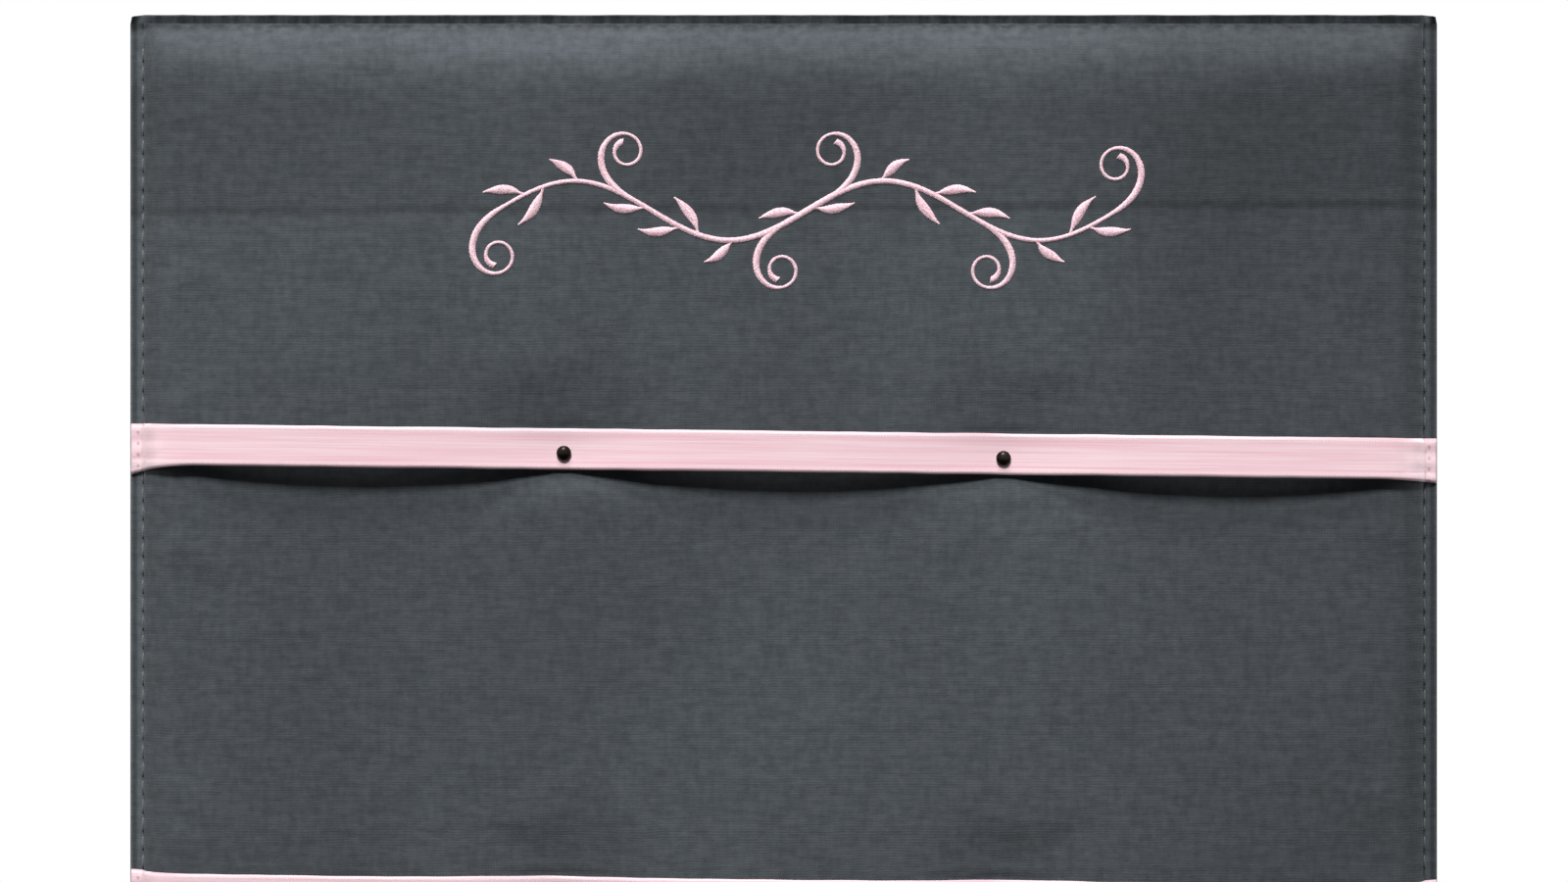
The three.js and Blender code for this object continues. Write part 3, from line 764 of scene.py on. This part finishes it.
def back_point(x, z):
    """A point of the back cover, which lies nearly flat and follows the flanges round its rim."""
    on_side, on_end = on_flanges(x, z)
    depth = END_CURL * on_end + 0.5 * edge_round(x, BOARD_HALF) + 0.35 * stitch_dimple(x, z)
    depth += BACK_SLACK * inside_seams(x, z, BACK_RIM) * (0.5 + 0.5 * uneven(x, z, 60, 1.9))
    for spot in HANGER_SPOTS:
        depth *= smooth(math.hypot(x - spot.x, z - spot.z), HANGER_NEAR, HANGER_CLEAR)
    cut = CORNER_CUT * on_side * on_end
    return x - math.copysign(cut, x), -depth, z - math.copysign(cut, z)


def back_cloth():
    across = lines_across(SEAM_X, SIDE_SHOULDER, 5, 6)
    up = lines_across(SEAM_Z, END_SHOULDER, 5, FINE_PITCH)
    bm = grid(across, up, back_point)
    bmesh.ops.reverse_faces(bm, faces=bm.faces)
    made = dress(meshed("back_cloth", bm), BACK_CLOTH, replaced=["back_cover"])
    thicken(made, CLOTH)


def padding():
    """The wadding: it fills the cover from the panel's face forwards, a little inside the cloth."""
    inset = CLOTH + LAYER_GAP + PAD_GAP
    reach_x, reach_z = SEAM_X - PAD_INSET, SEAM_Z - PAD_INSET
    across = [reach_x * math.sin(math.pi / 2 * (k / 40 - 1)) for k in range(81)]
    up = [reach_z * math.sin(math.pi / 2 * (k / 100 - 1)) for k in range(201)]
    bm = grid(across, up, lambda x, z: (x, -max(cover_depth(x, z) - inset, PANEL_FRONT + PAD_RIM), z))
    made = bmesh.ops.extrude_face_region(bm, geom=bm.faces[:])
    for v in made["geom"]:
        if isinstance(v, bmesh.types.BMVert):
            v.co.y = -(PANEL_FRONT + PAD_SEAT) * MM
    bmesh.ops.recalc_face_normals(bm, faces=bm.faces)
    pad = dress(meshed("padding", bm), WADDING, replaced=["wadding"])


# Ribbons

RIBBON_HALF = BOARD_HALF - 0.3
# The grid's lines at a ribbon's sewn end, in from its edge
RIBBON_END_LINES = (0, 0.6, 1.2, 1.9, 2.7, 3.5, 4.3, 5.2, 6.4, 8, 10, 12.5, 15)
RIBBON_STEPS = 184
RIBBON_CELLS = 12
RIBBON_SEEDS = {"upper": 2.3, "lower": 9.4}
EDGE_WAVER = 0.14
SEWN_DEPTH = 0.3
SEWN_WIDTH = 1.1
PLEAT_DEPTH = 0.22
PLEAT_REACH = 5
# Near a stud the ribbon's edges lift, and its middle is pressed in
LIFTED_EDGE = 0.35
LIFTED_REACH = 16
PRESSED_DEPTH = 0.06
PRESSED_REACH = 3.5
CUPPED_EDGE = 0.06


def ribbon_point(name, x, share):
    """A point of a ribbon, whose share runs from -0.5 on its lower edge to 0.5 on its upper one. It is bowed
    between its studs, pleated where the side seams catch it, and spread there."""
    middle = ribbon_height(name, x)
    edge = abs(2 * share)
    into = max(0, abs(x) - (BOARD_HALF - FLARE_LENGTH)) / FLARE_LENGTH
    flare = FLARES[-1 if x < 0 else 1] * into ** 2
    low, high = middle - WOVEN_WIDTH / 2 - flare, middle + WOVEN_WIDTH / 2
    z = low + (high - low) * (share + 0.5) + EDGE_WAVER * uneven(x, 0, 11, RIBBON_SEEDS[name]) * edge

    depth = cover_depth(x, middle) + LAYER_GAP + RIBBON_CLOTH + arch(x)
    row = abs(x) - STITCH_X
    depth += side_seam(x) - SEWN_DEPTH * bell(row, SEWN_WIDTH) - edge_round(x, RIBBON_HALF)
    pleats = 1 + math.sin(share * math.tau * 2.5 + RIBBON_SEEDS[name])
    depth += PLEAT_DEPTH * bell(row, PLEAT_REACH) * pleats
    depth += LIFTED_EDGE * max(bell(x - place, LIFTED_REACH) for place in STUD_X) * edge ** 2
    depth += CUPPED_EDGE * edge ** 2 * min(1, arch(x))
    pinned = min(math.hypot(x - place, 1.6 * share * RIBBON_WIDTH) for place in STUD_X)
    return x, -depth + PRESSED_DEPTH * bell(pinned, PRESSED_REACH), z


def ribbon(name):
    ends = [RIBBON_HALF - p for p in RIBBON_END_LINES]
    level = ends[-1]
    between = [-level + 2 * level * k / RIBBON_STEPS for k in range(1, RIBBON_STEPS)]
    along = [-p for p in ends] + between + ends[::-1]
    shares = [k / RIBBON_CELLS - 0.5 for k in range(RIBBON_CELLS + 1)]
    bm = grid(along, shares, lambda x, share: ribbon_point(name, x, share))
    layer = bm.loops.layers.uv.new("ribbon_map")
    for face in bm.faces:
        for loop in face.loops:
            x, z = loop.vert.co.x, loop.vert.co.z
            loop[layer].uv = (x, z - ribbon_height(name, x / MM) * MM)
    made = meshed(f"satin_ribbon_{name}", bm)
    dress(made, RIBBON_SATIN, replaced=[f"ribbon_{name}"])
    thicken(made, SATIN)


# Studs

def dome(radius, base, rise, steps=8):
    """Radius and height pairs up a dome, from just above its rim to its top."""
    angles = [math.pi / 2 * k / steps for k in range(1, steps)]
    return [(radius * math.cos(a), base + rise * math.sin(a)) for a in angles] + [(0, base + rise)]


def turned(outline, facing, steps, base):
    """A solid turned about Y from radius and height pairs in millimetres. The heights run from its base the
    way that it faces, -1 to the front or 1 to the back."""
    bm = bmesh.new()
    verts = [bm.verts.new((radius * MM, facing * height * MM, 0)) for radius, height in outline]
    for a, b in zip(verts, verts[1:]):
        bm.edges.new((a, b))
    whole = bm.verts[:] + bm.edges[:]
    turn = {"cent": (0, 0, 0), "axis": (0, 1, 0), "angle": math.tau, "steps": steps}
    bmesh.ops.spin(bm, geom=whole, use_merge=True, **turn)
    bmesh.ops.remove_doubles(bm, verts=bm.verts, dist=1e-6)
    bmesh.ops.holes_fill(bm, edges=[e for e in bm.edges if e.is_boundary], sides=0)
    bmesh.ops.recalc_face_normals(bm, faces=bm.faces)
    bmesh.ops.translate(bm, verts=bm.verts, vec=base)
    return bm


def stud_cap(name):
    """A stamped dome with a rolled rim."""
    low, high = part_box(f"stud_cap_{name}")
    base = Vector(((low.x + high.x) / 2, high.y, (low.z + high.z) / 2))
    radius, height = (high.z - low.z) / 2 / MM, (high.y - low.y) / MM
    rim = 0.16 * height
    outline = [(0.86 * radius, 0), (0.97 * radius, 0.05 * height), (radius, rim)]
    bm = turned(outline + dome(radius, rim, height - rim), -1, 32, base)
    dress(meshed(f"stud_head_{name}", bm), JAPANNED_STEEL, replaced=[f"stud_cap_{name}"])


# Stitching

RIBBON_CLEAR = 8.5
STITCH_LEAN = 0.18
STITCH_LIFT = 0.34
STITCH_SUNK = 0.12
THREAD_TAPER = 0.7
PINK_RADIUS = 0.3
PINK_PITCH = 0.72 * STITCH_PITCH
PINK_LENGTH = 3


def topstitch(front):
    """The rows of stitches along both sides, where the two covers are sewn together."""
    lines = []
    count = int(STITCH_END / STITCH_PITCH)
    for side in (-1, 1):
        crossed = [ribbon_height(name, side * STITCH_X) for name in RIBBONS] if front else []
        for k in range(-count, count):
            middle = (k + 0.5) * STITCH_PITCH
            if any(abs(middle - height) < RIBBON_CLEAR for height in crossed):
                continue
            lean = STITCH_LEAN * uneven(0, middle, 3, side * 5)
            line = []
            for share in (-0.5, -0.4, -0.15, 0.15, 0.4, 0.5):
                x, z = side * STITCH_X + 2 * lean * share, middle + share * STITCH_LENGTH
                lift = STITCH_LIFT * math.cos(math.pi * share * 0.94) - STITCH_SUNK
                y = cover_point(x, z)[1] - lift if front else back_point(x, z)[1] + 0.6 * lift - 0.1
                line.append((Vector((x, y, z)) * MM, THREAD_TAPER if abs(share) == 0.5 else 1))
            lines.append(line)
    made = tubes(f"topstitch_{'front' if front else 'back'}", lines, THREAD_RADIUS, 2)
    dress(made, SEWING_THREAD)


def ribbon_stitches():
    lines = []
    for side in (-1, 1):
        x = side * STITCH_X
        for name in RIBBONS:
            for k in (-1, 0, 1):
                z = ribbon_height(name, x) + k * PINK_PITCH - 0.3 * FLARES[side]
                depth = cover_depth(x, z) + side_seam(x) + LAYER_GAP + RIBBON_CLOTH + 0.1
                line = []
                for share in (-0.5, -0.2, 0.2, 0.5):
                    y = -depth - PINK_RADIUS * math.cos(math.pi * share)
                    line.append((Vector((x, y, z + share * PINK_LENGTH)) * MM, 1))
                lines.append(line)
    dress(tubes("ribbon_end_stitches", lines, PINK_RADIUS, 2), PINK_SEWING_THREAD)


# Embroidered scroll: a waving stem with curls and leaves. Its right half is its left half turned half round.

SCROLL_X = 7
SCROLL_Z = 139.5
WAVE = 94
WAVE_RISE = 9
STEM_SHARE = 0.98
# Where each curl leaves the stem, as a share of the wave, and the way it turns
CURLS = ((0.06, 1), (0.56, -1), (STEM_SHARE, 1))
# Where each leaf grows, the side it grows on, its lean off the stem in radians and its length
LEAVES = (
    (0.02, -1, 0.8, 13), (0.24, 1, 1, 11), (0.35, -1, 1, 14), (0.41, 1, 0.9, 13),
    (0.52, 1, 0.8, 13), (0.74, -1, 1, 11), (0.85, 1, 1, 14), (0.91, -1, 0.9, 13),
)
STRAND_PITCH = 0.4
STRAND_RADIUS = 0.25
STRAND_SLANT = 1.15
STRAND_TAPER = 0.8


def stem(x):
    return WAVE_RISE * math.sin(math.tau * x / WAVE)


def branch(x, outward, lean, length, bend, tighten=0, steps=80):
    """Points of a line that leaves the stem at x and bends as it goes, each with its share of the length."""
    angle = math.atan2(stem(x + outward) - stem(x), outward) + lean
    here = Vector((x, stem(x)))
    line = []
    for k in range(steps + 1):
        share = k / steps
        line.append((*here, share))
        here += Vector((math.cos(angle), math.sin(angle))) * length / steps
        angle += bend / steps * (1 + tighten * (2 * share - 1))
    return line


def curl(x, outward, turn):
    """A curl that swells as it leaves the stem, winds up thin and ends in a knob."""
    line = branch(x, outward, 0, 0.57 * WAVE, turn * 2.85 * math.pi, tighten=0.86)
    return [
        (px, pz, 0.8 + 1.3 * math.sin(math.pi * min(1, 1.6 * share + 0.12)) + 1.2 * smooth(share, 0.9, 0.98))
        for px, pz, share in line
    ]


def leaf(x, outward, side, lean, length):
    """A pointed leaf on a short stalk."""
    line = branch(x, outward, lean * side, length, -0.75 * side, steps=28)
    return [
        (px, pz, 0.7 * (1 - share) + 2.9 * math.sin(math.pi * max(0, (share - 0.14) / 0.86) ** 0.85) ** 1.3)
        for px, pz, share in line
    ]


def scroll_strokes():
    """The ornament's strokes, each a list of points with the stroke's width there."""
    strokes = []
    for outward in (-1, 1):
        wave = outward * WAVE
        reach = STEM_SHARE * wave
        shares = [k / 100 for k in range(101)]
        strokes.append([(reach * share, stem(reach * share), 2 - 0.9 * share) for share in shares])
        strokes += [curl(place * wave, outward, turn) for place, turn in CURLS]
        strokes += [leaf(place * wave, outward, *shape) for place, *shape in LEAVES]
    return strokes


def resampled(stroke, pitch):
    """Points along a stroke at an even pitch, each with the width and the direction there."""
    found = []
    left = 0
    for start, end in zip(stroke, stroke[1:]):
        run, rise = end[0] - start[0], end[1] - start[1]
        length = math.hypot(run, rise)
        while left < length:
            share = left / length
            found.append((*(a + (b - a) * share for a, b in zip(start, end)), math.atan2(rise, run)))
            left += pitch
        left -= length
    return found


def embroidery():
    """Satin stitch: strands laid side by side, slanted over each stroke and raised in its middle."""
    rng = random.Random(11)
    lines = []
    for stroke in scroll_strokes():
        for x, z, width, heading in resampled(stroke, STRAND_PITCH):
            slant = heading + STRAND_SLANT
            half = width / 2 + 0.12 * rng.random()
            line = []
            for share in (-1, -0.72, 0, 0.72, 1):
                px = x + SCROLL_X + half * share * math.cos(slant)
                pz = z + SCROLL_Z + half * share * math.sin(slant)
                lift = -0.1 + (0.28 + 0.1 * min(width, 3)) * (1 - share ** 2) ** 0.5
                place = Vector((px, -cover_depth(px, pz) - lift, pz)) * MM
                line.append((place, 1 if abs(share) < 1 else STRAND_TAPER))
            lines.append(line)
    print(f"embroidery: {len(lines)} strands")
    dress(tubes("embroidered_scroll", lines, STRAND_RADIUS, 1), EMBROIDERY_THREAD)


# Hangers

STRAP_EDGE = 0.12
RING_HALF = 7.5
RING_CORNER = 1.9
RING_HEIGHT = 11
WIRE_RADIUS = 1
KNUCKLE_RADIUS = 2.05
# A ring that stands up stays this far off the back
RING_REST = 0.3
SEAT_GAP = 0.1
SCREW_RADIUS = 1.5
SCREW_ROOT = 1.15
SCREW_PITCH = 0.66
SCREW_TURNS = 9
HEAD_RADIUS = 2.8
HEAD_EDGE = 0.7
HEAD_HEIGHT = 1.9
RECESS_LENGTH = 3.7
RECESS_DEPTH = 1.3
RECESS_WIDTH = 0.78
# The recess narrows to these shares of its length and width at its bottom, and is turned off the square
RECESS_TAPER = (0.45, 1, 0.8)
RECESS_TURN = 0.4


def strap(name):
    """The folded strap, from its CAD solid with its cut edges broken."""
    bm = bmesh.new()
    bm.from_mesh(frame["nodes"][f"hanger_strap_{name}"].data)
    bmesh.ops.remove_doubles(bm, verts=bm.verts, dist=1e-6)
    bmesh.ops.dissolve_limit(bm, angle_limit=math.radians(1), verts=bm.verts, edges=bm.edges)
    sharp = [e for e in bm.edges if len(e.link_faces) == 2 and e.calc_face_angle() > math.radians(45)]
    broken = {"offset": STRAP_EDGE * MM, "segments": 2, "profile": 0.5, "affect": "EDGES", "material": -1}
    bmesh.ops.bevel(bm, geom=sharp, **broken)
    made = meshed(f"strap_{name}", bm)
    dress(made, NICKEL_STRIP, replaced=[f"hanger_strap_{name}"])
    made.data.set_sharp_from_angle(angle=math.radians(35))


def ring(name):
    """The D-ring: drawn wire bent to a bar, two tight corners and a round crown. It leans on the board."""
    straight = RING_HALF - RING_CORNER
    # Each bend's middle, its radius, the angles where it starts and ends, and its steps
    bends = (
        (-straight, RING_CORNER, RING_CORNER, math.pi, 1.5 * math.pi, 8),
        (straight, RING_CORNER, RING_CORNER, -math.pi / 2, 0, 8),
        (0, RING_HEIGHT - RING_HALF, RING_HALF, 0, math.pi, 32),
    )
    joint = next(j for j in frame["joints"] if j["name"] == f"ring_{name}_swing")
    pivot = Vector(joint["pos_m"])
    lean = math.asin((KNUCKLE_RADIUS - WIRE_RADIUS - RING_REST + SEAT_GAP) / RING_HEIGHT)
    turn = Matrix.Rotation(lean, 4, "X")
    line = []
    for x, z, radius, start, end, steps in bends:
        for k in range(steps + 1):
            angle = start + (end - start) * k / steps
            place = Vector((x + radius * math.cos(angle), 0, z + radius * math.sin(angle)))
            line.append((pivot + turn @ (place * MM), 1))
    made = tubes(f"d_ring_{name}", [line], WIRE_RADIUS, 6, closed=True)
    dress(made, NICKEL_WIRE, f"ring_{name}", [f"hanger_ring_{name}"])


def recess(top):
    """The solid that cuts the cross recess: two arms, crossed and narrower towards the bottom."""
    bm = bmesh.new()
    for turn in (0, math.pi / 2):
        arm = bmesh.ops.create_cube(bm, size=1)["verts"]
        size = Vector((RECESS_LENGTH, 2 * RECESS_DEPTH, RECESS_WIDTH)) * MM
        bmesh.ops.scale(bm, verts=arm, vec=size)
        bmesh.ops.scale(bm, verts=[v for v in arm if v.co.y < 0], vec=RECESS_TAPER)
        matrix = Matrix.Rotation(turn + RECESS_TURN, 3, "Y")
        bmesh.ops.rotate(bm, verts=arm, cent=(0, 0, 0), matrix=matrix)
    bmesh.ops.translate(bm, verts=bm.verts, vec=top)
    return meshed("recess", bm)


def screw(name):
    """A pan-head screw with a cross recess. Its shank has the thread's grooves."""
    low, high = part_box(f"hanger_screw_{name}")
    top = Vector(((low.x + high.x) / 2, high.y, (low.z + high.z) / 2))
    outline = [(0, -7.5), (0.5, -6.6)]
    for k in range(SCREW_TURNS):
        outline += [(SCREW_ROOT, -6 + k * SCREW_PITCH), (SCREW_RADIUS, -5.7 + k * SCREW_PITCH)]
    outline += [(SCREW_RADIUS, 0), (HEAD_RADIUS - 0.25, 0), (HEAD_RADIUS, 0.18), (HEAD_RADIUS, HEAD_EDGE)]
    outline += dome(HEAD_RADIUS, HEAD_EDGE, HEAD_HEIGHT - HEAD_EDGE)
    made = meshed(f"pan_head_screw_{name}", turned(outline, 1, 40, top - Vector((0, HEAD_HEIGHT * MM, 0))))
    dress(made, ZINC_SCREW, replaced=[f"hanger_screw_{name}"])
    tool = recess(top)
    hole = made.modifiers.new("recess", "BOOLEAN")
    hole.object = tool
    hole.solver = "EXACT"
    hole.use_self = True
    cut = applied(made)
    made.modifiers.clear()
    made.data = cut
    made.data.shade_smooth()
    made.data.set_sharp_from_angle(angle=math.radians(40))
    bpy.data.objects.remove(tool)


# Studio: its floor and lamps in metres and watts, its camera in millimetres

FILL = 0.015
FLOOR_RADIUS = 1.5
FLOOR_GAP = 0.0004
FLOOR_FADES = 0.55
FLOOR_GONE = 1.35
# The photograph shows this width at the cover's rim and stops below the second ribbon
SEEN_WIDTH = 480.2
CAMERA_AWAY = 1600
CAMERA_ASIDE = 0.1
CAMERA_HEIGHT = 69.7
SENSOR_WIDTH = 36
LIT_PLACE = (0, 0, 0.05)
# Each lamp's place, its width and height, and its power
LAMPS = {
    "key": ((-0.6, -3.87, 4.95), (1.5, 1.5), 484),
    "overhead": ((-0.2, -0.98, 3.1), (1.6, 0.5), 52),
    "left_fill": ((-2.4, -0.13, 0.4), (0.5, 1), 13),
    "right_fill": ((2.4, -0.13, 0.4), (0.5, 1), 15),
    "side_fill": ((1.6, 1.2, 0.9), (1.2, 1.2), 22),
    "back_fill": ((-1.1, 1.9, 1.1), (1.2, 1.2), 36),
}


def camera():
    """Straight in front of the board."""
    lens = bpy.data.cameras.new("camera")
    lens.sensor_width = SENSOR_WIDTH
    lens.lens = SENSOR_WIDTH * CAMERA_AWAY / SEEN_WIDTH
    made = object_of("camera", lens)
    made.location = Vector((CAMERA_ASIDE, -CAMERA_AWAY, CAMERA_HEIGHT)) * MM
    made.rotation_euler = (math.pi / 2, 0, 0)
    scene.camera = made


def white_world():
    """A white world for the camera and for reflections, and a weaker one for the fill light."""
    world = bpy.data.worlds.new("studio")
    scene.world = world
    world.use_nodes = True
    tree = world.node_tree
    seen = add(tree, "LightPath", out="Is Camera Ray")
    ray = seen.node.outputs
    for kind in ("Is Glossy Ray", "Is Transmission Ray"):
        seen = add(tree, "Math", [seen, ray[kind]], operation="MAXIMUM")
    back = tree.nodes["Background"]
    back.inputs["Color"].default_value = (1, 1, 1, 1)
    tree.links.new(weighed(tree, [(seen, 1 - FILL)], FILL), back.inputs["Strength"])


def floor():
    """A disc just under the board, paler to the camera than to the light, that fades out around it."""
    bm = bmesh.new()
    bmesh.ops.create_circle(bm, cap_ends=True, segments=96, radius=FLOOR_RADIUS)
    bmesh.ops.translate(bm, verts=bm.verts, vec=(0, 0, -BOARD_HALF * MM - FLOOR_GAP))
    ground = meshed("floor", bm)
    material, tree, shader, place = begin("painted_floor", "dcdcdc", 0.9, Specular_IOR_Level=0.1)
    flat = add(tree, "VectorMath", [place, (1, 1, 0)], operation="MULTIPLY")
    away = add(tree, "VectorMath", [flat], "Value", operation="LENGTH")
    seen = add(tree, "LightPath", out="Is Camera Ray")
    shown = {"Factor": seen, 6: linear("343434"), 7: linear("dcdcdc")}
    tree.links.new(add(tree, "Mix", shown, 2, data_type="RGBA"), shader.inputs["Base Color"])
    fade = add(tree, "MapRange", [away, FLOOR_FADES, FLOOR_GONE, 0, 1], **SOFT)
    fade = add(tree, "Math", [fade, seen], operation="MULTIPLY")
    mixed = add(tree, "MixShader", [fade, shader.outputs[0], add(tree, "BsdfTransparent")])
    tree.links.new(mixed, tree.nodes["Material Output"].inputs["Surface"])
    ground.data.materials.append(material)


def lamp(name, place, size, watts):
    """A rectangular lamp that faces the board."""
    light = bpy.data.lights.new(name, "AREA")
    light.shape = "RECTANGLE"
    light.size, light.size_y = size
    light.energy = watts
    made = object_of(name, light)
    made.location = place
    made.rotation_euler = (Vector(LIT_PLACE) - Vector(place)).to_track_quat("-Z", "Y").to_euler()


camera()
white_world()
floor()
for name, settings in LAMPS.items():
    lamp(name, *settings)

padding()
cover_cloth()
back_cloth()
for name in RIBBONS:
    ribbon(name)
    for number in (1, 2):
        stud_cap(f"{name}_{number}")
        frame["nodes"][f"stud_legs_{name}_{number}"].data.materials[0] = BRASS_STRIP
frame["nodes"]["core_panel"].data.materials[0] = HARDBOARD
topstitch(front=True)
topstitch(front=False)
ribbon_stitches()
embroidery()
for name in HANGERS:
    strap(name)
    ring(name)
    screw(name)

scene.view_settings.view_transform = "Standard"
